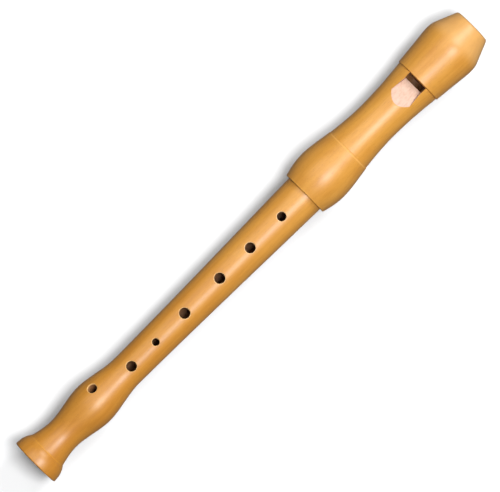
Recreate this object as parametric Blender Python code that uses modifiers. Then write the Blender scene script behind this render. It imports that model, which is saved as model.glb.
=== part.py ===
"""A soprano recorder of fruitwood in two joints, with a cedar block and a cork-lined tenon.

The recorder lies on its back with its bore along X, the beak at +X and the finger holes up.
The origin is on the surface under the middle of its length. Sizes are in metres.
"""

import math

import bmesh
import bpy
from mathutils import Matrix, Vector

# Fits, all measured across one gap
FIT = 0.0003
SIDES = 48

# Body joint, whose stations run from the foot's end face
BODY_LENGTH = 0.2000
FOOT_RADIUS = 0.0143
FOOT_EDGE_ROUNDING = 0.0007
FLARE_LENGTH = 0.0092
FLARE_TOP_RADIUS = 0.01145
FOOT_WAIST_AT = 0.0212
FOOT_WAIST_RADIUS = 0.00945
BULGE_AT = 0.0434
BULGE_RADIUS = 0.01235
STEM_WAIST_AT = 0.0680
STEM_WAIST_RADIUS = 0.00925
STEM_TOP_RADIUS = 0.01158
BODY_EDGE_ROUNDING = 0.0004

# Slopes of the body's outside, in radius gained a length
RIM_SLOPE = -0.08
FLARE_TOP_SLOPE = -0.85
FOOT_ARRIS_SLOPE = -0.26
STEM_WAIST_SLOPE = 0.006
STEM_TOP_SLOPE = 0.019

# Bore, narrowest at the foot
BORE_TOP_RADIUS = 0.00640
BORE_FOOT_RADIUS = 0.00480
BORE_MOUTH_CHAMFER = 0.0006

# Tenon and its cork
TENON_LENGTH = 0.0200
TENON_RADIUS = 0.0094
TENON_CHAMFER = 0.0006
CORK_FROM_SHOULDER = 0.0042
CORK_LENGTH = 0.0120
CORK_RECESS_DEPTH = 0.0010
CORK_PROUD = 0.0002
CORK_EDGE_ROUNDING = 0.0003

# Finger holes: station from the foot, diameter, angle round from the top in degrees
FINGER_HOLES = (
    ("finger_hole_1", 0.1831, 0.0049, 0),
    ("finger_hole_2", 0.1599, 0.0056, 0),
    ("finger_hole_3", 0.1373, 0.0058, 0),
    ("finger_hole_4", 0.1113, 0.0058, 0),
    ("finger_hole_5", 0.0899, 0.0039, 0),
    ("finger_hole_6", 0.0719, 0.0055, 0),
    ("finger_hole_7", 0.0491, 0.0051, 33),
    ("thumb_hole", 0.1905, 0.0055, 180),
)
HOLE_CHAMFER = 0.00035
HOLE_UNDERCUT = 0.0004
HOLE_POINTS = 24

# Head joint, whose stations run from its lower end
HEAD_LENGTH = 0.1247
SOCKET_DEPTH = 0.0205
HEAD_BORE_RADIUS = 0.00655
LIP_RADIUS = 0.0137
LIP_ROUNDING = 0.0012
BARREL_AT = 0.0135
BARREL_RADIUS = 0.0158
ARRIS_AT = 0.0321
ARRIS_RADIUS = 0.01362
ARRIS_STEP = 0.00030
HEAD_WAIST_AT = 0.0540
HEAD_WAIST_RADIUS = 0.01175
SHOULDER_AT = 0.0838
SHOULDER_RADIUS = 0.01365
SHOULDER_STEP = 0.0006

# Cap and cone, which stand at these lengths back from the beak's end
CAP_RISE_TO_END = 0.0227
CAP_TO_END = 0.0177
CONE_TO_END = 0.0119
CAP_RISE_AT = HEAD_LENGTH - CAP_RISE_TO_END
CAP_RISE_RADIUS = 0.01605
CAP_AT = HEAD_LENGTH - CAP_TO_END
CAP_RADIUS = 0.01645
CONE_AT = HEAD_LENGTH - CONE_TO_END
CONE_RADIUS = 0.0155
CONE_ANGLE = 22.5
BEAK_ROUNDING = 0.0017

# Slopes of the head's outside, in radius gained a length
LIP_SLOPE = 0.30
BARREL_FALL = -0.13
ARRIS_FALL = -0.12
SHOULDER_RISE = 0.12
CAP_FOOT_RISE = 0.085
CAP_RISE = 0.115

# Window and labium, measured from the shoulder, where the window starts
CUT_UP = 0.0034
EDGE_HEIGHT = 0.0068
EDGE_WIDTH = 0.0103
EDGE_THICKNESS = 0.0002
RAMP_ANGLE = 21.0
RAMP_SPLAY = 8.8
WALL_SPLAY = 7.0
UNDERCUT_ANGLE = 12.0

# Windway, a flat channel between the block and the head, narrowing to the window
WINDWAY_ENTRY_WIDTH = 0.0114
WINDWAY_EXIT_WIDTH = 0.0108
ENTRY_FLOOR_HEIGHT = 0.0047
ENTRY_HEIGHT = 0.0018
EXIT_FLOOR_HEIGHT = 0.00625
EXIT_HEIGHT = 0.0010
EXIT_CHAMFER = 0.0005

# Beak, hollowed under by one arc
BEAK_TIP_HEIGHT = 0.0005
BEAK_HOLLOW_RADIUS = 0.0380
BEAK_HOLLOW_SIDES = 144

# Where each piece stands
LENGTH = BODY_LENGTH + FIT + HEAD_LENGTH
HALF_STEP = math.pi / SIDES
AXIS_HEIGHT = BARREL_RADIUS * math.cos(HALF_STEP)
FOOT_X = -LENGTH / 2
HEAD_X = FOOT_X + BODY_LENGTH + FIT
WINDOW_X = HEAD_X + SHOULDER_AT
EDGE_X = WINDOW_X - CUT_UP
BEAK_X = HEAD_X + HEAD_LENGTH
CORK_RADIUS = TENON_RADIUS + CORK_PROUD
SOCKET_RADIUS = CORK_RADIUS + FIT
BLOCK_RADIUS = HEAD_BORE_RADIUS - FIT


def clear_scene():
    for thing in list(bpy.data.objects):
        bpy.data.objects.remove(thing)


def new_collection(name):
    made = bpy.data.collections.new(name)
    bpy.context.scene.collection.children.link(made)
    return made


def new_material(name, colour, roughness):
    made = bpy.data.materials.new(name)
    made.use_nodes = True
    surface = made.node_tree.nodes["Principled BSDF"]
    surface.inputs["Base Color"].default_value = (*colour, 1)
    surface.inputs["Roughness"].default_value = roughness
    surface.inputs["Metallic"].default_value = 0
    return made


# Outlines: points of (station, radius)
def sweep(start, end, slopes, steps):
    """Points after start up to end, on the one cubic that has these slopes at its two ends."""
    (x0, r0), (x1, r1) = start, end
    run = x1 - x0
    points = []
    for i in range(1, steps + 1):
        t = i / steps
        rise = t * t * (3 - 2 * t)
        leave = t * (1 - t) ** 2 * run * slopes[0]
        arrive = t * t * (1 - t) * run * slopes[1]
        points.append((x0 + run * t, r0 + (r1 - r0) * rise + leave - arrive))
    return points


def rounded(before, corner, after, radius, steps=4):
    """An arc of this radius in place of a corner, from the side of before to the side of after."""
    here = Vector(corner)
    back = (Vector(before) - here).normalized()
    ahead = (Vector(after) - here).normalized()
    half = back.angle(ahead) / 2
    centre = here + (back + ahead).normalized() * (radius / math.sin(half))
    start = here + back * (radius / math.tan(half)) - centre
    turn = start.angle_signed(here + ahead * (radius / math.tan(half)) - centre)
    points = []
    for i in range(steps + 1):
        arm = start.copy()
        arm.rotate(Matrix.Rotation(-turn * i / steps, 2))
        points.append(tuple(centre + arm))
    return points


def body_outline():
    """The outside of foot and stem, from the foot's end face to the shoulder that meets the head."""
    rim = (0, FOOT_RADIUS)
    flare_start = (FOOT_EDGE_ROUNDING, FOOT_RADIUS)
    points = rounded((0, 0), rim, flare_start, FOOT_EDGE_ROUNDING)
    flare_top = (FLARE_LENGTH, FLARE_TOP_RADIUS)
    points += sweep(points[-1], flare_top, (RIM_SLOPE, FLARE_TOP_SLOPE), 6)
    waist = (FOOT_WAIST_AT, FOOT_WAIST_RADIUS)
    points += sweep(flare_top, waist, (FOOT_ARRIS_SLOPE, 0), 6)
    bulge = (BULGE_AT, BULGE_RADIUS)
    points += sweep(waist, bulge, (0, 0), 9)
    stem_waist = (STEM_WAIST_AT, STEM_WAIST_RADIUS)
    points += sweep(bulge, stem_waist, (0, 0), 9)
    top = (BODY_LENGTH, STEM_TOP_RADIUS)
    edge = (BODY_LENGTH - BODY_EDGE_ROUNDING, STEM_TOP_RADIUS)
    points += sweep(stem_waist, edge, (STEM_WAIST_SLOPE, STEM_TOP_SLOPE), 8)[:-1]
    return points + rounded(points[-1], top, (BODY_LENGTH, 0), BODY_EDGE_ROUNDING, 3)


def tenon_outline():
    """The tenon past the shoulder, with the recess that holds the cork."""
    recess_radius = TENON_RADIUS - CORK_RECESS_DEPTH
    recess_start = BODY_LENGTH + CORK_FROM_SHOULDER
    recess_end = recess_start + CORK_LENGTH
    end = BODY_LENGTH + TENON_LENGTH
    return [
        (BODY_LENGTH, TENON_RADIUS),
        (recess_start, TENON_RADIUS),
        (recess_start, recess_radius),
        (recess_end, recess_radius),
        (recess_end, TENON_RADIUS),
        (end - TENON_CHAMFER, TENON_RADIUS),
        (end, TENON_RADIUS - TENON_CHAMFER),
    ]


def bore_outline():
    """The tapered bore, from the tenon's end down to the foot."""
    return [
        (BODY_LENGTH + TENON_LENGTH, BORE_TOP_RADIUS),
        (BORE_MOUTH_CHAMFER, BORE_FOOT_RADIUS),
        (0, BORE_FOOT_RADIUS + BORE_MOUTH_CHAMFER),
    ]


def head_outline():
    """The outside of the head, from its lower lip to the end of the beak."""
    points = rounded((0, 0), (0, LIP_RADIUS), (LIP_ROUNDING, LIP_RADIUS), LIP_ROUNDING)
    barrel = (BARREL_AT, BARREL_RADIUS)
    points += sweep(points[-1], barrel, (LIP_SLOPE, 0), 7)
    arris = (ARRIS_AT, ARRIS_RADIUS)
    points += sweep(barrel, arris, (0, BARREL_FALL), 8)
    below_arris = (ARRIS_AT + ARRIS_STEP, ARRIS_RADIUS - ARRIS_STEP)
    waist = (HEAD_WAIST_AT, HEAD_WAIST_RADIUS)
    points += [below_arris] + sweep(below_arris, waist, (ARRIS_FALL, 0), 7)
    shoulder = (SHOULDER_AT, SHOULDER_RADIUS)
    points += sweep(waist, shoulder, (0, SHOULDER_RISE), 7)
    cap_foot = (SHOULDER_AT, SHOULDER_RADIUS + SHOULDER_STEP)
    rise = (CAP_RISE_AT, CAP_RISE_RADIUS)
    cap = (CAP_AT, CAP_RADIUS)
    points += [cap_foot] + sweep(cap_foot, rise, (CAP_FOOT_RISE, CAP_RISE), 4)
    points += sweep(rise, cap, (CAP_RISE, 0), 4)
    slope = -math.tan(math.radians(CONE_ANGLE))
    cone = (CONE_AT, CONE_RADIUS)
    points += sweep(cap, cone, (0, slope), 6)
    tip = (HEAD_LENGTH, CONE_RADIUS + (HEAD_LENGTH - CONE_AT) * slope)
    return points + rounded(cone, tip, (HEAD_LENGTH, 0), BEAK_ROUNDING, 6)


def socket_outline():
    """The head's bore back from the beak, and the wider socket for the tenon."""
    return [
        (HEAD_LENGTH, HEAD_BORE_RADIUS),
        (SOCKET_DEPTH, HEAD_BORE_RADIUS),
        (SOCKET_DEPTH, SOCKET_RADIUS),
        (0, SOCKET_RADIUS),
    ]


def radius_at(outline, station):
    """The outline's radius at a station, between its points."""
    for (x0, r0), (x1, r1) in zip(outline, outline[1:]):
        if x0 <= station <= x1 and x1 > x0:
            return r0 + (r1 - r0) * (station - x0) / (x1 - x0)
    return outline[-1][1]


# Solids
def place(name, mesh, where, group):
    made = bpy.data.objects.new(name, mesh)
    made.location = where
    group.objects.link(made)
    return made


def turn_profile(name, outline, where, group):
    """A closed outline turned about the bore, with a flat side of the facets facing down."""
    mesh = bpy.data.meshes.new(name)
    shape = bmesh.new()
    side = Vector((0, math.cos(HALF_STEP), math.sin(HALF_STEP)))
    ring = [shape.verts.new(Vector((x, 0, 0)) + side * r) for x, r in reversed(outline)]
    for one, two in zip(ring, ring[1:] + ring[:1]):
        shape.edges.new((one, two))
    shape.to_mesh(mesh)
    shape.free()
    made = place(name, mesh, where, group)
    screw = made.modifiers.new("turned", "SCREW")
    screw.axis = "X"
    screw.steps = screw.render_steps = SIDES
    screw.use_merge_vertices = True
    screw.merge_threshold = 0.00001
    return made


def loft(name, sections, where, group):
    """A solid skin through closed sections of as many points each, capped at both ends."""
    mesh = bpy.data.meshes.new(name)
    shape = bmesh.new()
    rings = [[shape.verts.new(point) for point in section] for section in sections]
    for low, high in zip(rings, rings[1:]):
        for i, corner in enumerate(low):
            j = (i + 1) % len(low)
            shape.faces.new((corner, low[j], high[j], high[i]))
    shape.faces.new(rings[0])
    shape.faces.new(rings[-1])
    bmesh.ops.recalc_face_normals(shape, faces=shape.faces)
    shape.to_mesh(mesh)
    shape.free()
    return place(name, mesh, where, group)


def rod(name, radius, length, sides, where, group):
    """A plain cylinder, with a flat side of its facets facing down."""
    mesh = bpy.data.meshes.new(name)
    shape = bmesh.new()
    bmesh.ops.create_cone(
        shape, cap_ends=True, segments=sides, radius1=radius, radius2=radius, depth=length
    )
    shape.to_mesh(mesh)
    shape.free()
    return place(name, mesh, where, group)


def combine(target, other, operation):
    """Cuts the other solid from the target, or joins it on, and hides it."""
    step = target.modifiers.new(other.name, "BOOLEAN")
    step.operation = operation
    step.object = other
    step.solver = "EXACT"
    other.hide_render = True
    other.display_type = "WIRE"


def finish(made, surface):
    """Settles the steps into one mesh, shaded smooth between its sharp edges."""
    graph = bpy.context.evaluated_depsgraph_get()
    mesh = bpy.data.meshes.new_from_object(made.evaluated_get(graph))
    mesh.name = made.name
    made.modifiers.clear()
    made.data = mesh
    mesh.materials.clear()
    mesh.materials.append(surface)
    mesh.shade_smooth()
    mesh.set_sharp_from_angle(angle=math.radians(30))


# Body joint
def make_hole_cutter(name, station, diameter, angle, outline, group):
    """A finger hole drilled to the bore, with an even chamfer outside and a wider inner end."""
    radius = diameter / 2

    def ring(ring_radius, height=None, lift=0.0):
        points = []
        for i in range(HOLE_POINTS):
            turn = 2 * math.pi * (i + 0.5) / HOLE_POINTS
            x = ring_radius * math.cos(turn)
            y = ring_radius * math.sin(turn)
            outside = radius_at(outline, station + x)
            surface = math.sqrt(outside**2 - y**2) + lift
            points.append((x, y, surface if height is None else height))
        return points

    outside = radius_at(outline, station)
    sections = [
        ring(radius + HOLE_UNDERCUT, height=BORE_FOOT_RADIUS / 2),
        ring(radius + HOLE_UNDERCUT, height=BORE_FOOT_RADIUS),
        ring(radius, height=(BORE_TOP_RADIUS + outside) / 2),
        ring(radius, lift=-HOLE_CHAMFER),
        ring(radius + 2 * HOLE_CHAMFER, lift=HOLE_CHAMFER),
        ring(radius + 2 * HOLE_CHAMFER, height=outside + 4 * HOLE_CHAMFER),
    ]
    cutter = loft(name, sections, (FOOT_X + station, 0, AXIS_HEIGHT), group)
    cutter.rotation_euler.x = -math.radians(angle)
    return cutter


def make_body_joint(parts, cutters, surface):
    outside = body_outline()
    outline = outside + tenon_outline() + bore_outline()
    body = turn_profile("body_joint", outline, (FOOT_X, 0, AXIS_HEIGHT), parts)
    for name, station, diameter, angle in FINGER_HOLES:
        cutter = make_hole_cutter(name, station, diameter, angle, outside, cutters)
        combine(body, cutter, "DIFFERENCE")
    finish(body, surface)


def make_tenon_cork(parts, surface):
    """The cork ring, as long and as deep as its recess allows."""
    inner = TENON_RADIUS - CORK_RECESS_DEPTH + FIT
    length = CORK_LENGTH - 2 * FIT
    outline = [(0, inner)]
    for end, inward in ((0, CORK_EDGE_ROUNDING), (length, length - CORK_EDGE_ROUNDING)):
        before = (0, inner) if end == 0 else (inward, CORK_RADIUS)
        after = (inward, CORK_RADIUS) if end == 0 else (length, inner)
        outline += rounded(before, (end, CORK_RADIUS), after, CORK_EDGE_ROUNDING, 3)
    outline += [(length, inner)]
    x = FOOT_X + BODY_LENGTH + CORK_FROM_SHOULDER + FIT
    cork = turn_profile("tenon_cork", outline, (x, 0, AXIS_HEIGHT), parts)
    finish(cork, surface)


# Head joint
def windway_section(x, width, low, high):
    half = width / 2
    return [(x, -half, low), (x, half, low), (x, half, high), (x, -half, high)]


def between_ends(entry, leave, x):
    """A windway size at x, between its value at the beak's end and that at the window."""
    share = (x - WINDOW_X) / (BEAK_X - WINDOW_X)
    return leave + (entry - leave) * share


def make_windway_slot(group):
    """The channel in the head: the block's ridge fills its lower part and the air takes the rest."""
    sections = []
    for x in (WINDOW_X - FIT, BEAK_X + FIT):
        width = between_ends(WINDWAY_ENTRY_WIDTH, WINDWAY_EXIT_WIDTH, x)
        entry_roof = ENTRY_FLOOR_HEIGHT + ENTRY_HEIGHT
        roof = between_ends(entry_roof, EXIT_FLOOR_HEIGHT + EXIT_HEIGHT, x)
        sections.append(windway_section(x, width, 0, roof))
    return loft("windway_slot", sections, (0, 0, AXIS_HEIGHT), group)


def make_window(group):
    """The window, from the labium's edge to the shoulder, splayed a little towards the outside."""
    top = SHOULDER_RADIUS + CAP_RADIUS
    out = top * math.tan(math.radians(WALL_SPLAY))
    sections = []
    for x in (EDGE_X, WINDOW_X):
        half = EDGE_WIDTH / 2
        sections.append([(x, -half, 0), (x, half, 0), (x, half, EDGE_HEIGHT),
                         (x, half + out, top), (x, -half - out, top), (x, -half, EDGE_HEIGHT)])
    return loft("window", sections, (0, 0, AXIS_HEIGHT), group)


def make_ramp(group):
    """The labium's ramp: a flat plane rising from the edge to the outside, between splayed walls."""
    rise = math.tan(math.radians(RAMP_ANGLE))
    splay = math.tan(math.radians(RAMP_SPLAY))
    lean = math.tan(math.radians(WALL_SPLAY))
    run = SHOULDER_RADIUS / rise
    top = EDGE_HEIGHT + SHOULDER_RADIUS
    sections = []
    for back in (-FIT, run):
        x = EDGE_X - back
        low = EDGE_HEIGHT + back * rise
        half = EDGE_WIDTH / 2 + back * splay
        out = half + (top + run * rise - low) * lean
        high = top + run * rise
        sections.append([(x, -half, low), (x, half, low), (x, out, high), (x, -out, high)])
    return loft("labium_ramp", sections, (0, 0, AXIS_HEIGHT), group)


def make_undercut(group):
    """The cut inside the bore that thins the labium to its edge."""
    fall = math.tan(math.radians(UNDERCUT_ANGLE))
    high = EDGE_HEIGHT - EDGE_THICKNESS
    run = high / fall
    half = EDGE_WIDTH / 2
    sections = []
    for back in (-FIT, run * 0.95):
        x = EDGE_X - back
        sections.append(windway_section(x, 2 * half, -FIT, high - max(back, 0) * fall))
    return loft("labium_undercut", sections, (0, 0, AXIS_HEIGHT), group)


def make_beak_hollow(group):
    """The arc that hollows the underside of the beak, through head and block alike."""
    where = (BEAK_X, 0, AXIS_HEIGHT + BEAK_TIP_HEIGHT - BEAK_HOLLOW_RADIUS)
    width = 4 * CAP_RADIUS
    hollow = rod("beak_hollow", BEAK_HOLLOW_RADIUS, width, BEAK_HOLLOW_SIDES, where, group)
    hollow.rotation_euler.x = math.pi / 2
    return hollow


def make_head_joint(parts, cutters, hollow, surface):
    outline = head_outline() + socket_outline()
    head = turn_profile("head_joint", outline, (HEAD_X, 0, AXIS_HEIGHT), parts)
    for make in (make_windway_slot, make_window, make_ramp, make_undercut):
        combine(head, make(cutters), "DIFFERENCE")
    combine(head, hollow, "DIFFERENCE")
    finish(head, surface)


# Block
def make_block_ridge(group):
    """The raised part of the block that slides in the windway's slot."""
    sections = []
    for x in (WINDOW_X, BEAK_X):
        width = between_ends(WINDWAY_ENTRY_WIDTH, WINDWAY_EXIT_WIDTH, x) - 2 * FIT
        sections.append(windway_section(x, width, 0, HEAD_BORE_RADIUS + FIT))
    return loft("block_ridge", sections, (0, 0, AXIS_HEIGHT), group)


def make_floor_cutter(group):
    """The air over the windway's floor, with the small chamfer at its window end."""
    top = 2 * HEAD_BORE_RADIUS
    chamfer_end = WINDOW_X + EXIT_CHAMFER
    sections = []
    for x, drop in ((WINDOW_X - FIT, EXIT_CHAMFER + FIT), (chamfer_end, 0), (BEAK_X + FIT, 0)):
        floor = between_ends(ENTRY_FLOOR_HEIGHT, EXIT_FLOOR_HEIGHT, x) - drop
        sections.append(windway_section(x, 2 * WINDWAY_ENTRY_WIDTH, floor, top))
    return loft("windway_floor", sections, (0, 0, AXIS_HEIGHT), group)


def make_block(parts, cutters, hollow, surface):
    outline = [(0, 0), (0, BLOCK_RADIUS), (BEAK_X - WINDOW_X, BLOCK_RADIUS), (BEAK_X - WINDOW_X, 0)]
    block = turn_profile("block", outline, (WINDOW_X, 0, AXIS_HEIGHT), parts)
    combine(block, make_block_ridge(cutters), "UNION")
    combine(block, make_floor_cutter(cutters), "DIFFERENCE")
    combine(block, hollow, "DIFFERENCE")
    finish(block, surface)


def main():
    clear_scene()
    parts = new_collection("recorder")
    cutters = new_collection("cutters")
    pearwood = new_material("stained_pearwood", (0.79, 0.38, 0.10), 0.38)
    cedar = new_material("cedar", (0.55, 0.27, 0.13), 0.75)
    cork = new_material("cork", (0.50, 0.31, 0.16), 0.85)
    hollow = make_beak_hollow(cutters)
    make_body_joint(parts, cutters, pearwood)
    make_tenon_cork(parts, cork)
    make_head_joint(parts, cutters, hollow, pearwood)
    make_block(parts, cutters, hollow, cedar)


main()
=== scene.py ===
"""Looks of the soprano recorder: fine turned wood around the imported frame, pale floor, studio light."""

import math

import bmesh
import bpy
from mathutils import Matrix, Vector


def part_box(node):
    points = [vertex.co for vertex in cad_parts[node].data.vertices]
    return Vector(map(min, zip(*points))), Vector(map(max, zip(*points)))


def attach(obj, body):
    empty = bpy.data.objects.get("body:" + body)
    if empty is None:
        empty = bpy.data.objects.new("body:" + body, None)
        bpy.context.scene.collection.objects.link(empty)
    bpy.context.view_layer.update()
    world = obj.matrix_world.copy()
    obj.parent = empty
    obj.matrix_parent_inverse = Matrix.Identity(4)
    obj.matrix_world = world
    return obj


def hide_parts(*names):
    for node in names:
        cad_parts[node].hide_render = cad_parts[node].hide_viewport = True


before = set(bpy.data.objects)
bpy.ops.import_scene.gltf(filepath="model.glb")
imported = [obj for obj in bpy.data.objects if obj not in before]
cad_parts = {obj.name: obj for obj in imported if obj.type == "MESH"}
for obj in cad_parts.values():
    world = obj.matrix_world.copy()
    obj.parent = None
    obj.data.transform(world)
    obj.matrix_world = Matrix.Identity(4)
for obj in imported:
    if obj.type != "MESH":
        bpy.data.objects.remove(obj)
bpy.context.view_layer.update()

# Fits: play around cork and block, and how far the stem goes up to the head's lip
FIT = 0.0003
SEAT = 0.0002

# Body joint, as (station, radius) in metres from the foot's end face
BODY_LENGTH = 0.2000
FOOT_RADIUS = 0.0143
FOOT_EDGE_ROUNDING = 0.0007
RIM_SLOPE = -0.08
FLARE_TOP = (0.0092, 0.01145)
FLARE_TOP_SLOPE = -0.85
FOOT_ARRIS_SLOPE = -0.26
FOOT_WAIST = (0.0212, 0.00945)
BULGE = (0.0434, 0.01235)
STEM_WAIST = (0.0680, 0.00925)
STEM_WAIST_SLOPE = 0.006
STEM_TOP_RADIUS = 0.01158
STEM_TOP_SLOPE = 0.019
BODY_EDGE_ROUNDING = 0.00015
BORE_TOP_RADIUS = 0.00640
BORE_FOOT_RADIUS = 0.00480
BORE_MOUTH_CHAMFER = 0.0006
TENON_LENGTH = 0.0200
TENON_RADIUS = 0.0094
TENON_CHAMFER = 0.0006
CORK_FROM_SHOULDER = 0.0042
CORK_LENGTH = 0.0120
CORK_RECESS_DEPTH = 0.0010
CORK_PROUD = 0.0002
CORK_EDGE_ROUNDING = 0.0003
# Finger holes, as (name, station, diameter, degrees round from the top)
FINGER_HOLES = (
    ("finger_hole_1", 0.1831, 0.0049, 0),
    ("finger_hole_2", 0.1599, 0.0056, 0),
    ("finger_hole_3", 0.1373, 0.0058, 0),
    ("finger_hole_4", 0.1113, 0.0058, 0),
    ("finger_hole_5", 0.0899, 0.0039, 0),
    ("finger_hole_6", 0.0719, 0.0055, 0),
    ("finger_hole_7", 0.0491, 0.0051, 33),
    ("thumb_hole", 0.1905, 0.0055, 180),
)
HOLE_CHAMFER = 0.00035
HOLE_UNDERCUT = 0.0004

# Head joint, as (station, radius) in metres from its lower end
HEAD_LENGTH = 0.1247
SOCKET_DEPTH = 0.0205
HEAD_BORE_RADIUS = 0.00655
LIP_RADIUS = 0.0137
LIP_ROUNDING = 0.0005
LIP_SLOPE = 0.30
BARREL = (0.0135, 0.0158)
BARREL_FALL = -0.13
ARRIS = (0.0321, 0.01362)
ARRIS_STEP = 0.00030
ARRIS_FALL = -0.12
HEAD_WAIST = (0.0540, 0.01175)
SHOULDER = (0.0838, 0.01365)
SHOULDER_RISE = 0.12
SHOULDER_STEP = 0.0006
SCORE_WIDTH = 0.0004
SCORE_DEPTH = 0.0004
CAP_FOOT_SLOPE = 0.085
CAP_RISE = (0.1020, 0.01605)
CAP_RISE_SLOPE = 0.115
CAP = (0.1070, 0.01645)
CONE = (0.1128, 0.0155)
CONE_ANGLE = 22.5
BEAK_ROUNDING = 0.0017
CUT_UP = 0.0034
EDGE_HEIGHT = 0.0068
EDGE_WIDTH = 0.0103
EDGE_THICKNESS = 0.0002
RAMP_ANGLE = 21.0
RAMP_SPLAY = 8.8
WALL_SPLAY = 7.0
UNDERCUT_ANGLE = 12.0
WINDWAY_ENTRY_WIDTH = 0.0114
WINDWAY_EXIT_WIDTH = 0.0108
ENTRY_FLOOR_HEIGHT = 0.0047
ENTRY_HEIGHT = 0.0018
EXIT_FLOOR_HEIGHT = 0.00625
EXIT_HEIGHT = 0.0010
EXIT_CHAMFER = 0.0005
BEAK_TIP_HEIGHT = 0.0005
BEAK_HOLLOW_RADIUS = 0.0380

# Places in the frame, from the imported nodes
BODY_LOW, BODY_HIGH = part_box("body_joint")
AXIS_HEIGHT = (BODY_LOW[2] + BODY_HIGH[2]) / 2
FOOT_X = BODY_LOW[0]
HEAD_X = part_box("head_joint")[0][0]
CORK_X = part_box("tenon_cork")[0][0]
WINDOW_X = HEAD_X + SHOULDER[0]
EDGE_X = WINDOW_X - CUT_UP
BEAK_X = HEAD_X + HEAD_LENGTH
CORK_RADIUS = TENON_RADIUS + CORK_PROUD
SOCKET_RADIUS = CORK_RADIUS + FIT
BLOCK_RADIUS = HEAD_BORE_RADIUS - FIT

# Points round each kind of surface, steps along a curve, and the degrees that make an edge sharp
SIDES = 192
FINER = 3
HOLE_POINTS = 72
HOLLOW_POINTS = 360
SHARP_ANGLE = 28
# Turned surfaces stay inside the frame's facets by this factor
TRIM = AXIS_HEIGHT / BARREL[1]

# A finger hole's mouth, as (wider by, higher than the outside by), both in chamfers
HOLE_MOUTH = ((0, -1.6), (0.25, -0.7), (0.75, -0.25), (1.3, 0.08), (2, 1))
HOLE_WALL_FROM = 1.5 * HOLE_CHAMFER

# Wood: the span that the grain's noise fills, its pores and clouds, its relief and its gloss
GRAIN_SPAN = (0.3, 0.7)
PORE_SPAN = (0.60, 0.72)
PORE_SHARE = 0.55
CLOUD_SHARE = 0.75
GRAIN_RELIEF = 0.00012
GRAIN_ROUGHNESS = (-0.05, 0.07)
COAT_ROUGHNESS = 0.38
WOOD_SPECULAR = 0.2

# Painted light: the widths of the pale rings that paint a highlight on two arrises, the painted shade
# that darkens the wood toward the foot, and the painted highlight that pales the beak
FLARE_HIGHLIGHT_WIDTH = 0.0006
ARRIS_HIGHLIGHT_WIDTH = 0.0008
FOOT_PAINTED_SHADE = (0.85, 0.77, 0.52)
BEAK_HIGHLIGHT_COLOUR = (0.82, 0.50, 0.21)
BEAK_PAINTED_HIGHLIGHT = 0.35

# Studio: the view in metres, the camera's sensor in millimetres, and the pale floor
VIEW_WIDTH = 0.2630
VIEW_CENTRE = (-0.0020, 0.00075)
CAMERA_DISTANCE = 3.3
CAMERA_REACH = 20
SENSOR = 36
BORE_ANGLE_IN_VIEW = 44.94
FLOOR_SIZE = 8.0
FLOOR_SEEN = (0.84, 0.845, 0.85)
FLOOR_BOUNCE = (0.13, 0.125, 0.12)
FLOOR_GLOW = 0.03
SKY_COLOUR = (0.95, 0.97, 1.0, 1)
SKY_STRENGTH = 0.15


# Outlines: points of (station, radius)
def sweep(start, end, slopes, steps):
    """Points after start up to end, on the one cubic that has these slopes at its two ends."""
    (x0, r0), (x1, r1) = start, end
    run = x1 - x0
    points = []
    for i in range(1, steps * FINER + 1):
        t = i / (steps * FINER)
        rise = t * t * (3 - 2 * t)
        leave = t * (1 - t) ** 2 * run * slopes[0]
        arrive = t * t * (1 - t) * run * slopes[1]
        points.append((x0 + run * t, r0 + (r1 - r0) * rise + leave - arrive))
    return points


def rounded(before, corner, after, radius, steps=4):
    """An arc of this radius in place of a corner, from the side of before to the side of after."""
    here = Vector(corner)
    back = (Vector(before) - here).normalized()
    ahead = (Vector(after) - here).normalized()
    half = back.angle(ahead) / 2
    centre = here + (back + ahead).normalized() * (radius / math.sin(half))
    start = here + back * (radius / math.tan(half)) - centre
    turn = start.angle_signed(here + ahead * (radius / math.tan(half)) - centre)
    points = []
    for i in range(steps * FINER + 1):
        arm = start.copy()
        arm.rotate(Matrix.Rotation(-turn * i / (steps * FINER), 2))
        points.append(tuple(centre + arm))
    return points


def body_outline():
    """The outside of foot and stem, from the foot's end face to the shoulder that meets the head."""
    rim = (0, FOOT_RADIUS)
    points = rounded((0, 0), rim, (FOOT_EDGE_ROUNDING, FOOT_RADIUS), FOOT_EDGE_ROUNDING)
    points += sweep(points[-1], FLARE_TOP, (RIM_SLOPE, FLARE_TOP_SLOPE), 6)
    points += sweep(FLARE_TOP, FOOT_WAIST, (FOOT_ARRIS_SLOPE, 0), 6)
    points += sweep(FOOT_WAIST, BULGE, (0, 0), 9)
    points += sweep(BULGE, STEM_WAIST, (0, 0), 9)
    top = (BODY_LENGTH + SEAT, STEM_TOP_RADIUS)
    edge = (BODY_LENGTH + SEAT - BODY_EDGE_ROUNDING, STEM_TOP_RADIUS)
    points += sweep(STEM_WAIST, edge, (STEM_WAIST_SLOPE, STEM_TOP_SLOPE), 8)[:-1]
    return points + rounded(points[-1], top, (BODY_LENGTH + SEAT, 0), BODY_EDGE_ROUNDING, 3)


def tenon_outline():
    """The tenon past the shoulder, with the recess that holds the cork."""
    recess_radius = TENON_RADIUS - CORK_RECESS_DEPTH
    recess_start = BODY_LENGTH + CORK_FROM_SHOULDER
    recess_end = recess_start + CORK_LENGTH
    end = BODY_LENGTH + TENON_LENGTH
    return [
        (BODY_LENGTH + SEAT, TENON_RADIUS),
        (recess_start, TENON_RADIUS),
        (recess_start, recess_radius),
        (recess_end, recess_radius),
        (recess_end, TENON_RADIUS),
        (end - TENON_CHAMFER, TENON_RADIUS),
        (end, TENON_RADIUS - TENON_CHAMFER),
    ]


def bore_outline():
    """The tapered bore, from the tenon's end down to the foot."""
    return [
        (BODY_LENGTH + TENON_LENGTH, BORE_TOP_RADIUS),
        (BORE_MOUTH_CHAMFER, BORE_FOOT_RADIUS),
        (0, BORE_FOOT_RADIUS + BORE_MOUTH_CHAMFER),
    ]


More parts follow.
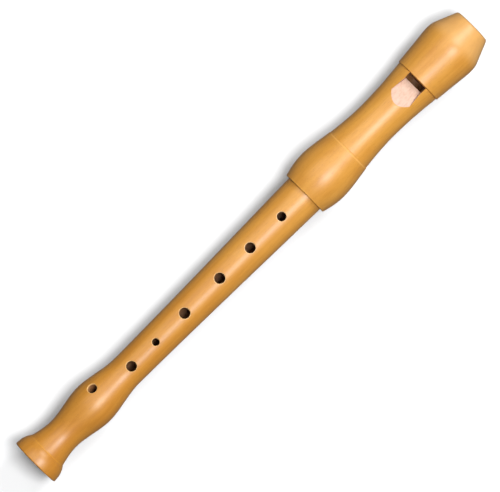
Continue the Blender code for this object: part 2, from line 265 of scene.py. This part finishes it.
def head_outline():
    """The outside of the head, from its lower lip past the scored shoulder to the end of the beak."""
    points = rounded((0, 0), (0, LIP_RADIUS), (LIP_ROUNDING, LIP_RADIUS), LIP_ROUNDING)
    points += sweep(points[-1], BARREL, (LIP_SLOPE, 0), 7)
    points += sweep(BARREL, ARRIS, (0, BARREL_FALL), 8)
    below_arris = (ARRIS[0] + ARRIS_STEP, ARRIS[1] - ARRIS_STEP)
    points += [below_arris] + sweep(below_arris, HEAD_WAIST, (ARRIS_FALL, 0), 7)
    points += sweep(HEAD_WAIST, SHOULDER, (0, SHOULDER_RISE), 7)
    points.append((SHOULDER[0] + SCORE_WIDTH / 4, SHOULDER[1] - SCORE_DEPTH))
    cap_foot = (SHOULDER[0] + SCORE_WIDTH, SHOULDER[1] + SHOULDER_STEP)
    points += [cap_foot] + sweep(cap_foot, CAP_RISE, (CAP_FOOT_SLOPE, CAP_RISE_SLOPE), 4)
    points += sweep(CAP_RISE, CAP, (CAP_RISE_SLOPE, 0), 4)
    slope = -math.tan(math.radians(CONE_ANGLE))
    points += sweep(CAP, CONE, (0, slope), 6)
    tip = (HEAD_LENGTH, CONE[1] + (HEAD_LENGTH - CONE[0]) * slope)
    return points + rounded(CONE, tip, (HEAD_LENGTH, 0), BEAK_ROUNDING, 6)


def socket_outline():
    """The head's bore back from the beak, and the wider socket for the tenon."""
    return [
        (HEAD_LENGTH, HEAD_BORE_RADIUS),
        (SOCKET_DEPTH, HEAD_BORE_RADIUS),
        (SOCKET_DEPTH, SOCKET_RADIUS),
        (0, SOCKET_RADIUS),
    ]


def radius_at(outline, station):
    """The outline's radius at a station, between its points."""
    for (x0, r0), (x1, r1) in zip(outline, outline[1:]):
        if x0 <= station <= x1 and x1 > x0:
            return r0 + (r1 - r0) * (station - x0) / (x1 - x0)
    return outline[-1][1]


# Solids
def place(name, mesh):
    made = bpy.data.objects.new(name, mesh)
    bpy.context.scene.collection.objects.link(made)
    return made


def from_shape(name, shape):
    mesh = bpy.data.meshes.new(name)
    shape.to_mesh(mesh)
    shape.free()
    return place(name, mesh)


def turn_profile(name, outline, start_x):
    """A closed outline turned about the bore, from start_x on."""
    shape = bmesh.new()
    rings = []
    for x, r in outline:
        ring = []
        for i in range(SIDES):
            turn = 2 * math.pi * i / SIDES
            y = r * TRIM * math.cos(turn)
            z = AXIS_HEIGHT + r * TRIM * math.sin(turn)
            ring.append(shape.verts.new((start_x + x, y, z)))
        rings.append(ring)
    for low, high in zip(rings, rings[1:] + rings[:1]):
        for i in range(SIDES):
            j = (i + 1) % SIDES
            shape.faces.new((low[i], low[j], high[j], high[i]))
    bmesh.ops.recalc_face_normals(shape, faces=shape.faces)
    return from_shape(name, shape)


def loft(name, sections, turn=0.0):
    """A solid skin through closed sections of as many points each, turned about the bore."""
    shape = bmesh.new()
    rings = [[shape.verts.new(point) for point in section] for section in sections]
    for low, high in zip(rings, rings[1:]):
        for i, corner in enumerate(low):
            j = (i + 1) % len(low)
            shape.faces.new((corner, low[j], high[j], high[i]))
    shape.faces.new(rings[0])
    shape.faces.new(rings[-1])
    bmesh.ops.recalc_face_normals(shape, faces=shape.faces)
    about_bore = Matrix.Rotation(-math.radians(turn), 4, "X")
    shape.transform(Matrix.Translation((0, 0, AXIS_HEIGHT)) @ about_bore)
    return from_shape(name, shape)


def combine(target, other, operation, surface=None):
    """Cuts the other solid from the target, or joins it on, and keeps the other's finish on the cut."""
    if surface:
        other.data.materials.append(surface)
    step = target.modifiers.new(other.name, "BOOLEAN")
    step.operation = operation
    step.object = other
    step.solver = "EXACT"
    step.material_mode = "TRANSFER"


def settle(made, cutters):
    """Turns the steps into one plain mesh and removes the cutters."""
    graph = bpy.context.evaluated_depsgraph_get()
    mesh = bpy.data.meshes.new_from_object(made.evaluated_get(graph))
    made.modifiers.clear()
    made.data = mesh
    for cutter in cutters:
        bpy.data.objects.remove(cutter)
    mesh.shade_smooth()
    mesh.set_sharp_from_angle(angle=math.radians(SHARP_ANGLE))


# Where finishes go
def refinish(made, surface, old_slot, chosen):
    """Gives a finish to the chosen faces of an old one; out is a face's place across the bore."""
    mesh = made.data
    mesh.materials.append(surface)
    slot = len(mesh.materials) - 1
    for face in mesh.polygons:
        out = Vector((0, face.center.y, face.center.z - AXIS_HEIGHT))
        if face.material_index == old_slot and chosen(face, out):
            face.material_index = slot


def finish_bore(made, surface, outer_radius):
    """Gives the faces that look into the bore their own darker finish: oiled wood, darker still as
    painted shade.
    """
    def chosen(face, out):
        along_bore = abs(face.normal.x) < 0.9
        return face.normal.dot(out) < 0 and along_bore and out.length < outer_radius

    refinish(made, surface, 0, chosen)


def finish_ring(made, surface, start_x, end_x):
    """Gives a finish to the outer faces between two places along the bore."""
    def chosen(face, out):
        return face.normal.dot(out) > 0 and start_x < face.center.x < end_x

    refinish(made, surface, 0, chosen)


def finish_walls(made, surface, edge_slot, outline, start_x, depth):
    """Gives the drilled walls deeper than the chamfer their own finish."""
    def chosen(face, out):
        return out.length < radius_at(outline, face.center.x - start_x) - depth

    refinish(made, surface, edge_slot, chosen)


# Finishes
def new_group(name, inputs, outputs):
    """A shader node group with float inputs and outputs, and the nodes for both."""
    tree = bpy.data.node_groups.new(name, "ShaderNodeTree")
    for label, value in inputs:
        made = tree.interface.new_socket(label, in_out="INPUT", socket_type="NodeSocketFloat")
        made.default_value = value
    for label in outputs:
        tree.interface.new_socket(label, in_out="OUTPUT", socket_type="NodeSocketFloat")
    return tree, tree.nodes.new("NodeGroupInput"), tree.nodes.new("NodeGroupOutput")


def node(tree, kind, settings=None, links=None):
    """A node with its settings, and its inputs set to a value or linked from a socket."""
    made = tree.nodes.new(kind)
    for name, value in (settings or {}).items():
        setattr(made, name, value)
    for name, value in (links or {}).items():
        if isinstance(value, bpy.types.NodeSocket):
            tree.links.new(value, made.inputs[name])
        else:
            made.inputs[name].default_value = value
    return made


def colour_ramp(tree, factor, stops):
    """A colour ramp whose stops are (place, linear colour)."""
    made = node(tree, "ShaderNodeValToRGB", links={"Fac": factor})
    elements = made.color_ramp.elements
    while len(elements) < len(stops):
        elements.new(0.5)
    for element, (place_at, colour) in zip(elements, stops):
        element.position = place_at
        element.color = (*colour, 1)
    return made.outputs["Color"]


def mixed(tree, share, under, over, blend="MIX"):
    """The under colour with a share of the over colour on it."""
    settings = {"data_type": "RGBA", "blend_type": blend}
    return node(tree, "ShaderNodeMix", settings, {0: share, 6: under, 7: (*over, 1)}).outputs[2]


def mapped(tree, value, from_span, to_span=(0.0, 1.0), curve="LINEAR"):
    """A value moved from one span to another, and held at the span's ends."""
    return node(
        tree, "ShaderNodeMapRange", {"clamp": True, "interpolation_type": curve},
        {"Value": value, "From Min": from_span[0], "From Max": from_span[1],
         "To Min": to_span[0], "To Max": to_span[1]},
    ).outputs[0]


def object_place(tree):
    """Object coordinates, which are places in the frame, since every piece stands at its origin."""
    return node(tree, "ShaderNodeTexCoord").outputs["Object"]


def stretched(tree, scale):
    """Object coordinates stretched along the bore, as wood's grain is."""
    moved = node(tree, "ShaderNodeMapping", links={"Vector": object_place(tree), "Scale": scale})
    return moved.outputs["Vector"]


def relief(tree, surface, strength, distance, height):
    """Bump in the surface, from a height."""
    bump = node(
        tree, "ShaderNodeBump", {},
        {"Strength": strength, "Distance": distance, "Height": height},
    )
    tree.links.new(bump.outputs[0], surface.inputs["Normal"])


def make_grain_group():
    """Wood grain in metres along X: streaks, cloudy patches and short pores."""
    inputs = (("Fineness", 1.0), ("Wave", 0.25))
    tree, given, gives = new_group("wood_grain", inputs, ("Streaks", "Patches", "Pores"))
    streaks = node(
        tree, "ShaderNodeTexNoise", {},
        {"Vector": stretched(tree, (14, 420, 420)), "Scale": given.outputs["Fineness"],
         "Detail": 6.0, "Roughness": 0.62, "Distortion": given.outputs["Wave"]},
    )
    patches = node(
        tree, "ShaderNodeTexNoise", {},
        {"Vector": stretched(tree, (28, 70, 70)), "Scale": given.outputs["Fineness"],
         "Detail": 3.0, "Roughness": 0.5, "Distortion": 0.8},
    )
    pores = node(
        tree, "ShaderNodeTexNoise", {},
        {"Vector": stretched(tree, (260, 5200, 5200)), "Scale": given.outputs["Fineness"],
         "Detail": 2.0, "Roughness": 0.5},
    )
    tree.links.new(streaks.outputs[0], gives.inputs["Streaks"])
    tree.links.new(patches.outputs[0], gives.inputs["Patches"])
    tree.links.new(mapped(tree, pores.outputs[0], PORE_SPAN), gives.inputs["Pores"])
    return tree


def painted_light_along(tree, colour, amount):
    """The wood's colour darkened toward the foot as painted shade, and paled on the beak as a painted
    highlight.
    """
    along = node(tree, "ShaderNodeSeparateXYZ", {}, {"Vector": object_place(tree)}).outputs["X"]
    foot_span = (FOOT_X + FOOT_WAIST[0], HEAD_X)
    footward = mapped(tree, along, foot_span, (amount, 0.0), "SMOOTHSTEP")
    foot_shaded = mixed(tree, footward, colour, FOOT_PAINTED_SHADE, "MULTIPLY")
    beak_span = (HEAD_X + CAP[0], HEAD_X + CONE[0] + BEAK_ROUNDING)
    beakward = mapped(tree, along, beak_span, (0.0, amount * BEAK_PAINTED_HIGHLIGHT), "SMOOTHSTEP")
    return mixed(tree, beakward, foot_shaded, BEAK_HIGHLIGHT_COLOUR)


def wood(name, grain, stops, shade, pore_colour, roughness, bump, coat=0.0, painted_light=0.0, fineness=1.0):
    """A wood finish: grain streaks in a few colours, cloudy shading, pores, and its gloss."""
    made = bpy.data.materials.new(name)
    made.use_nodes = True
    tree = made.node_tree
    surface = tree.nodes["Principled BSDF"]
    grown = node(tree, "ShaderNodeGroup", {"node_tree": grain}, {"Fineness": fineness})
    streaks = grown.outputs["Streaks"]
    cloud = mapped(tree, grown.outputs["Patches"], GRAIN_SPAN, (0.0, CLOUD_SHARE))
    clouded = mixed(tree, cloud, colour_ramp(tree, streaks, stops), shade, "MULTIPLY")
    pored_share = node(
        tree, "ShaderNodeMath", {"operation": "MULTIPLY"}, {0: grown.outputs["Pores"], 1: PORE_SHARE}
    ).outputs[0]
    pored = mixed(tree, pored_share, clouded, pore_colour)
    # Painted shade toward the foot and a painted highlight on the beak
    tree.links.new(painted_light_along(tree, pored, painted_light), surface.inputs["Base Color"])
    rough_span = (roughness + GRAIN_ROUGHNESS[0], roughness + GRAIN_ROUGHNESS[1])
    tree.links.new(mapped(tree, streaks, GRAIN_SPAN, rough_span), surface.inputs["Roughness"])
    height = node(
        tree, "ShaderNodeMath", {"operation": "SUBTRACT"}, {0: streaks, 1: pored_share}
    )
    relief(tree, surface, bump, GRAIN_RELIEF, height.outputs[0])
    surface.inputs["Coat Weight"].default_value = coat
    surface.inputs["Coat Roughness"].default_value = COAT_ROUGHNESS
    surface.inputs["Specular IOR Level"].default_value = WOOD_SPECULAR
    return made


def make_cork():
    """Pressed cork: pale grains parted by darker seams and pits."""
    made = bpy.data.materials.new("cork")
    made.use_nodes = True
    tree = made.node_tree
    surface = tree.nodes["Principled BSDF"]
    where = object_place(tree)
    cells = node(
        tree, "ShaderNodeTexVoronoi", {"feature": "F1"}, {"Vector": where, "Scale": 900.0}
    )
    specks = node(
        tree, "ShaderNodeTexNoise", {}, {"Vector": where, "Scale": 2400.0, "Detail": 4.0}
    )
    colour = colour_ramp(
        tree, cells.outputs["Distance"],
        ((0.0, (0.60, 0.38, 0.20)), (0.55, (0.50, 0.29, 0.14)), (1.0, (0.24, 0.12, 0.05))),
    )
    tree.links.new(colour, surface.inputs["Base Color"])
    relief(tree, surface, strength=0.6, distance=0.0002, height=specks.outputs[0])
    surface.inputs["Roughness"].default_value = 0.85
    return made


# Body joint
def hole_cutter(name, station, diameter, angle, outline):
    """A finger hole drilled to the bore, with an even chamfer outside and a wider inner end."""
    radius = diameter / 2

    def ring(ring_radius, height=None, lift=0.0):
        points = []
        for i in range(HOLE_POINTS):
            turn = 2 * math.pi * (i + 0.5) / HOLE_POINTS
            x = ring_radius * math.cos(turn)
            y = ring_radius * math.sin(turn)
            outside = radius_at(outline, station + x) * TRIM
            surface = math.sqrt(outside**2 - y**2) + lift
            points.append((FOOT_X + station + x, y, surface if height is None else height))
        return points

    outside = radius_at(outline, station)
    sections = [
        ring(radius + HOLE_UNDERCUT, height=BORE_FOOT_RADIUS / 2),
        ring(radius + HOLE_UNDERCUT, height=BORE_FOOT_RADIUS),
        ring(radius, height=(BORE_TOP_RADIUS + outside) / 2),
    ]
    for wider, lift in HOLE_MOUTH:
        sections.append(ring(radius + wider * HOLE_CHAMFER, lift=lift * HOLE_CHAMFER))
    mouth_radius = radius + HOLE_MOUTH[-1][0] * HOLE_CHAMFER
    sections.append(ring(mouth_radius, height=outside + 4 * HOLE_CHAMFER))
    return loft(name, sections, angle)


def make_body(stained, inside, hole_edge, arris_highlight):
    """Foot and stem with their finger holes, tenon and bore."""
    outside = body_outline()
    outline = outside + tenon_outline() + bore_outline()
    body = turn_profile("body_joint_turned", outline, FOOT_X)
    body.data.materials.append(stained)
    cutters = []
    for name, station, diameter, angle in FINGER_HOLES:
        cutters.append(hole_cutter(name, station, diameter, angle, outside))
        combine(body, cutters[-1], "DIFFERENCE", hole_edge)
    settle(body, cutters)
    edge_slot = body.data.materials.find(hole_edge.name)
    # The drilled walls take the bore's dark finish: oiled wood, partly painted shade
    finish_walls(body, inside, edge_slot, outside, FOOT_X, HOLE_WALL_FROM)
    # A pale ring at the flare's arris: a painted highlight
    finish_ring(body, arris_highlight, FOOT_X + FLARE_TOP[0] - FLARE_HIGHLIGHT_WIDTH, FOOT_X + FLARE_TOP[0])
    finish_bore(body, inside, BORE_TOP_RADIUS + FIT)
    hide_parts("body_joint")
    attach(body, "body")


def make_cork_ring(cork):
    """The cork ring in its recess."""
    inner = TENON_RADIUS - CORK_RECESS_DEPTH + FIT
    length = CORK_LENGTH - 2 * FIT
    middle = (length / 2, CORK_RADIUS)
    outline = [(0, inner)]
    outline += rounded((0, inner), (0, CORK_RADIUS), middle, CORK_EDGE_ROUNDING, 3)
    outline += rounded(middle, (length, CORK_RADIUS), (length, inner), CORK_EDGE_ROUNDING, 3)
    outline += [(length, inner)]
    ring = turn_profile("tenon_cork_ring", outline, CORK_X)
    ring.data.materials.append(cork)
    settle(ring, [])
    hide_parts("tenon_cork")
    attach(ring, "cork")


# Head joint
def section(x, width, low, high):
    """An upright rectangle across the bore, between two heights."""
    half = width / 2
    return [(x, -half, low), (x, half, low), (x, half, high), (x, -half, high)]


def between_ends(entry, leave, x):
    """A windway size at x, between its value at the beak's end and that at the window."""
    share = (x - WINDOW_X) / (BEAK_X - WINDOW_X)
    return leave + (entry - leave) * share


def windway_slot():
    """The channel in the head: the block's ridge fills its lower part and the air takes the rest."""
    sections = []
    for x in (WINDOW_X - FIT, BEAK_X + FIT):
        width = between_ends(WINDWAY_ENTRY_WIDTH, WINDWAY_EXIT_WIDTH, x)
        entry_roof = ENTRY_FLOOR_HEIGHT + ENTRY_HEIGHT
        roof = between_ends(entry_roof, EXIT_FLOOR_HEIGHT + EXIT_HEIGHT, x)
        sections.append(section(x, width, 0, roof))
    return loft("windway_slot", sections)


def window():
    """The window, from the labium's edge to the shoulder, splayed a little towards the outside."""
    top = SHOULDER[1] + CAP[1]
    out = top * math.tan(math.radians(WALL_SPLAY))
    half = EDGE_WIDTH / 2
    sections = []
    for x in (EDGE_X, WINDOW_X):
        sections.append([(x, -half, 0), (x, half, 0), (x, half, EDGE_HEIGHT),
                         (x, half + out, top), (x, -half - out, top), (x, -half, EDGE_HEIGHT)])
    return loft("window", sections)


def labium_ramp():
    """The labium's ramp: a flat plane rising from the edge to the outside, between splayed walls."""
    rise = math.tan(math.radians(RAMP_ANGLE))
    splay = math.tan(math.radians(RAMP_SPLAY))
    lean = math.tan(math.radians(WALL_SPLAY))
    run = SHOULDER[1] / rise
    high = EDGE_HEIGHT + SHOULDER[1] + run * rise
    sections = []
    for back in (-FIT, run):
        x = EDGE_X - back
        low = EDGE_HEIGHT + back * rise
        half = EDGE_WIDTH / 2 + back * splay
        out = half + (high - low) * lean
        sections.append([(x, -half, low), (x, half, low), (x, out, high), (x, -out, high)])
    return loft("labium_ramp", sections)


def labium_undercut():
    """The cut inside the bore that thins the labium to its edge."""
    fall = math.tan(math.radians(UNDERCUT_ANGLE))
    high = EDGE_HEIGHT - EDGE_THICKNESS
    sections = []
    for back in (-FIT, high / fall * 0.95):
        sections.append(section(EDGE_X - back, EDGE_WIDTH, -FIT, high - max(back, 0) * fall))
    return loft("labium_undercut", sections)


def beak_hollow(name):
    """The arc that hollows the underside of the beak, through head and block alike."""
    sections = []
    for y in (-2 * CAP[1], 2 * CAP[1]):
        ring = []
        for i in range(HOLLOW_POINTS):
            turn = 2 * math.pi * i / HOLLOW_POINTS
            x = BEAK_X + BEAK_HOLLOW_RADIUS * math.cos(turn)
            z = BEAK_TIP_HEIGHT - BEAK_HOLLOW_RADIUS + BEAK_HOLLOW_RADIUS * math.sin(turn)
            ring.append((x, y, z))
        sections.append(ring)
    return loft(name, sections)


def make_head(stained, bare, inside, arris_highlight):
    """Barrel, waist, cap and beak, with socket, windway, window and labium."""
    outline = head_outline() + socket_outline()
    head = turn_profile("head_joint_turned", outline, HEAD_X)
    head.data.materials.append(stained)
    # The windway, window and undercut take the bore's dark finish: oiled wood, partly painted shade
    cuts = (
        (windway_slot(), inside),
        (window(), inside),
        (labium_ramp(), bare),
        (labium_undercut(), inside),
        (beak_hollow("head_hollow"), stained),
    )
    for cutter, surface in cuts:
        combine(head, cutter, "DIFFERENCE", surface)
    settle(head, [cutter for cutter, _ in cuts])
    # A pale ring at the head's arris: a painted highlight
    finish_ring(head, arris_highlight, HEAD_X + ARRIS[0] - ARRIS_HIGHLIGHT_WIDTH, HEAD_X + ARRIS[0])
    finish_bore(head, inside, SOCKET_RADIUS + FIT)
    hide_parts("head_joint")
    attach(head, "head")


# Block
def make_block(cedar):
    """The cedar plug with its raised ridge, the flat floor of the windway and the hollowed end."""
    turns = [2 * math.pi * i / SIDES for i in range(SIDES)]
    rings = []
    for x in (WINDOW_X, BEAK_X):
        rings.append([(x, BLOCK_RADIUS * math.cos(t), BLOCK_RADIUS * math.sin(t)) for t in turns])
    block = loft("block_shaped", rings)
    block.data.materials.append(cedar)
    ridge = []
    for x in (WINDOW_X, BEAK_X):
        width = between_ends(WINDWAY_ENTRY_WIDTH, WINDWAY_EXIT_WIDTH, x) - 2 * FIT
        ridge.append(section(x, width, 0, HEAD_BORE_RADIUS + FIT))
    floor = []
    places = (
        (WINDOW_X - FIT, EXIT_CHAMFER + FIT),
        (WINDOW_X + EXIT_CHAMFER, 0),
        (BEAK_X + FIT, 0),
    )
    for x, drop in places:
        low = between_ends(ENTRY_FLOOR_HEIGHT, EXIT_FLOOR_HEIGHT, x) - drop
        floor.append(section(x, 2 * WINDWAY_ENTRY_WIDTH, low, 2 * HEAD_BORE_RADIUS))
    cutters = [loft("block_ridge", ridge), loft("windway_floor", floor), beak_hollow("block_hollow")]
    for cutter, operation in zip(cutters, ("UNION", "DIFFERENCE", "DIFFERENCE")):
        combine(block, cutter, operation, cedar)
    settle(block, cutters)
    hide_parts("block")
    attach(block, "block")


# Studio
def make_floor():
    """A pale floor that throws little light back up, with a faint glow of its own in view."""
    shape = bmesh.new()
    bmesh.ops.create_grid(shape, x_segments=1, y_segments=1, size=FLOOR_SIZE / 2)
    floor = from_shape("floor", shape)
    made = bpy.data.materials.new("pale_floor")
    made.use_nodes = True
    tree = made.node_tree
    tree.nodes.clear()
    seen = node(tree, "ShaderNodeLightPath").outputs["Is Camera Ray"]
    paleness = mixed(tree, seen, (*FLOOR_BOUNCE, 1), FLOOR_SEEN)
    diffuse = node(tree, "ShaderNodeBsdfDiffuse", {}, {"Color": paleness})
    share = node(
        tree, "ShaderNodeMath", {"operation": "MULTIPLY"}, {0: seen, 1: FLOOR_GLOW}
    )
    glow = node(
        tree, "ShaderNodeEmission", {}, {"Color": (1, 1, 1, 1), "Strength": share.outputs[0]}
    )
    both = node(tree, "ShaderNodeAddShader", {}, {0: diffuse.outputs[0], 1: glow.outputs[0]})
    node(tree, "ShaderNodeOutputMaterial", {}, {"Surface": both.outputs[0]})
    floor.data.materials.append(made)


def make_lamp(name, azimuth, elevation, distance, size, power):
    """A square soft lamp that faces the recorder from an azimuth and elevation in degrees."""
    data = bpy.data.lights.new(name, "AREA")
    data.size = size
    data.energy = power
    lamp = place(name, data)
    side = math.cos(math.radians(elevation))
    away = Vector((
        side * math.cos(math.radians(azimuth)),
        side * math.sin(math.radians(azimuth)),
        math.sin(math.radians(elevation)),
    ))
    lamp.location = away * distance
    lamp.rotation_euler = away.to_track_quat("Z", "Y").to_euler()


def make_camera():
    """A long lens straight above, turned so that the bore lies across the picture."""
    data = bpy.data.cameras.new("camera")
    data.sensor_width = SENSOR
    data.lens = SENSOR * CAMERA_DISTANCE / VIEW_WIDTH
    data.clip_end = CAMERA_REACH
    camera = place("camera", data)
    camera.location = (*VIEW_CENTRE, AXIS_HEIGHT + CAMERA_DISTANCE)
    camera.rotation_euler = (0, 0, -math.radians(BORE_ANGLE_IN_VIEW))
    bpy.context.scene.camera = camera


def make_world():
    world = bpy.data.worlds.new("studio")
    world.use_nodes = True
    sky = world.node_tree.nodes["Background"]
    sky.inputs["Color"].default_value = SKY_COLOUR
    sky.inputs["Strength"].default_value = SKY_STRENGTH
    bpy.context.scene.world = world


def main():
    bpy.context.scene.view_settings.view_transform = "Standard"
    grain = make_grain_group()
    stained = wood(
        "stained_fruitwood", grain,
        stops=((0.32, (0.57, 0.252, 0.033)), (0.50, (0.62, 0.290, 0.042)), (0.68, (0.66, 0.320, 0.053))),
        shade=(0.90, 0.80, 0.62), pore_colour=(0.36, 0.14, 0.02),
        roughness=0.50, bump=0.06, coat=1.0, painted_light=1.0,
    )
    hole_edge = wood(
        "hole_edge", grain,
        stops=((0.32, (0.74, 0.46, 0.22)), (0.50, (0.82, 0.54, 0.28)), (0.68, (0.86, 0.60, 0.34))),
        shade=(0.92, 0.84, 0.70), pore_colour=(0.40, 0.18, 0.05),
        roughness=0.45, bump=0.06, coat=0.25, painted_light=1.0,
    )
    bare = wood(
        "bare_fruitwood", grain,
        stops=((0.34, (0.58, 0.38, 0.28)), (0.50, (0.66, 0.45, 0.35)), (0.66, (0.70, 0.50, 0.40))),
        shade=(0.97, 0.94, 0.92), pore_colour=(0.50, 0.28, 0.18),
        roughness=0.6, bump=0.08, fineness=2.5,
    )
    # The bore's oiled wood, darkened further as painted shade in the bore, window, windway and finger
    # holes
    inside = wood(
        "oiled_bore_and_painted_shade", grain,
        stops=((0.30, (0.24, 0.110, 0.045)), (0.55, (0.32, 0.155, 0.065)), (0.75, (0.38, 0.195, 0.09))),
        shade=(0.8, 0.7, 0.6), pore_colour=(0.08, 0.03, 0.01),
        roughness=0.5, bump=0.10,
    )
    cedar = wood(
        "cedar", grain,
        stops=((0.30, (0.42, 0.18, 0.08)), (0.50, (0.58, 0.30, 0.16)), (0.72, (0.66, 0.38, 0.22))),
        shade=(0.85, 0.75, 0.65), pore_colour=(0.25, 0.09, 0.04),
        roughness=0.7, bump=0.25,
    )
    # Paler stain for the rings at the two arrises: a painted highlight along each arris
    arris_highlight = wood(
        "painted_arris_highlight", grain,
        stops=((0.32, (0.66, 0.330, 0.075)), (0.50, (0.71, 0.370, 0.090)), (0.68, (0.75, 0.400, 0.105))),
        shade=(0.92, 0.84, 0.70), pore_colour=(0.40, 0.18, 0.05),
        roughness=0.45, bump=0.06, coat=0.25, painted_light=1.0,
    )
    make_body(stained, inside, hole_edge, arris_highlight)
    make_cork_ring(make_cork())
    make_head(stained, bare, inside, arris_highlight)
    make_block(cedar)
    make_floor()
    make_world()
    make_lamp("key", azimuth=-70, elevation=74, distance=1.6, size=0.6, power=22)
    make_lamp("fill", azimuth=80, elevation=60, distance=2.0, size=1.2, power=10)
    make_lamp("head_light", azimuth=0, elevation=45, distance=2.0, size=0.8, power=19)
    make_camera()


main()
